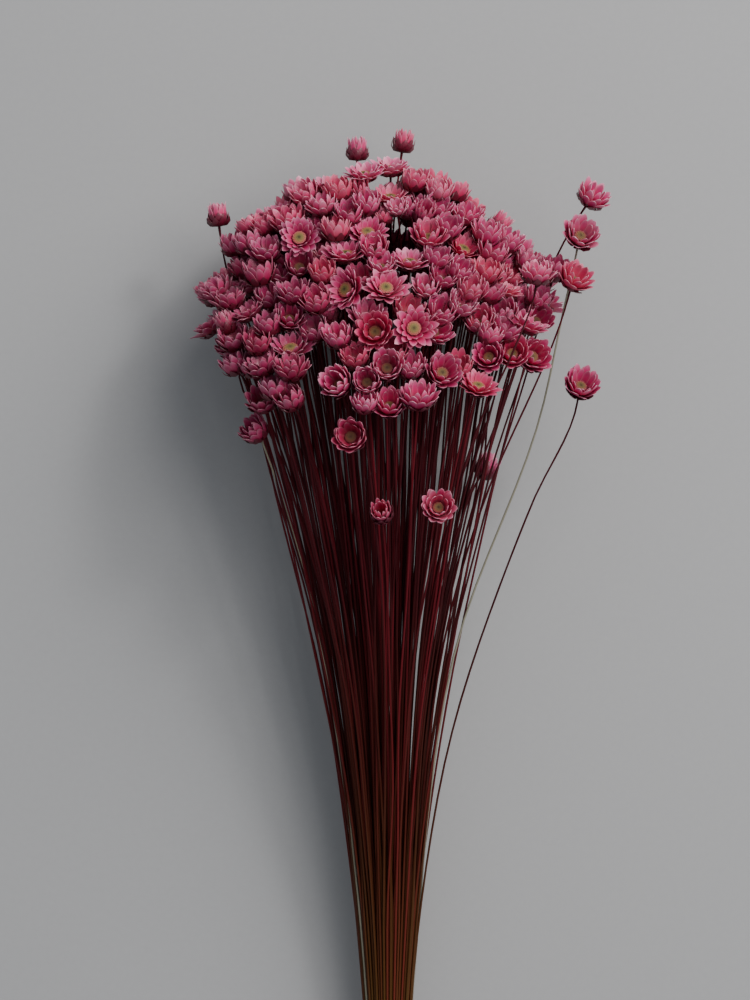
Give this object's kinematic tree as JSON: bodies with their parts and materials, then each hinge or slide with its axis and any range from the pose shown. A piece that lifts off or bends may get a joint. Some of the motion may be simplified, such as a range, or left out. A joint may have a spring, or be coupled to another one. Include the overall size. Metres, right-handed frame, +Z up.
{
  "type": "dried flower bouquet",
  "caption": "Bunch of dried glixia: thin straight stems with papery layered daisy heads in a dense dome, tied with twine near the cut ends, lying on its back.",
  "frame": {"origin": "middle of the box of the lying bunch, on the surface that it lies on", "axes": "+Y along the stems from the cut ends to the flowers, +X across the bunch, +Z up, away from the surface"},
  "size_m": [0.1559, 0.4018, 0.0983],
  "materials": {
    "flowers": "matte",
    "twine": "matte",
    "bracts": "satin",
    "discs": "matte",
    "stems": "satin"
  },
  "bodies": {
    "root": {"spray_01": "flowers", "spray_02": "flowers", "spray_03": "flowers", "spray_04": "flowers", "spray_05": "flowers", "spray_06": "flowers", "spray_07": "flowers", "spray_08": "flowers", "spray_09": "flowers", "spray_10": "flowers", "spray_11": "flowers", "spray_12": "flowers", "spray_13": "flowers", "spray_14": "flowers", "spray_15": "flowers", "spray_16": "flowers", "spray_17": "flowers", "spray_18": "flowers", "spray_19": "flowers", "spray_20": "flowers", "spray_21": "flowers", "spray_22": "flowers", "spray_23": "flowers", "spray_24": "flowers", "spray_25": "flowers", "spray_26": "flowers", "spray_27": "flowers", "spray_28": "flowers", "spray_29": "flowers", "spray_30": "flowers", "spray_31": "flowers", "spray_32": "flowers", "spray_33": "flowers", "spray_34": "flowers", "spray_35": "flowers", "spray_36": "flowers", "spray_37": "flowers", "spray_38": "flowers", "spray_39": "flowers", "spray_40": "flowers", "spray_41": "flowers", "spray_42": "flowers", "spray_43": "flowers", "spray_44": "flowers", "spray_45": "flowers", "spray_46": "flowers", "spray_47": "flowers", "spray_48": "flowers", "twine_tie": "twine"}
  },
  "joints": []
}
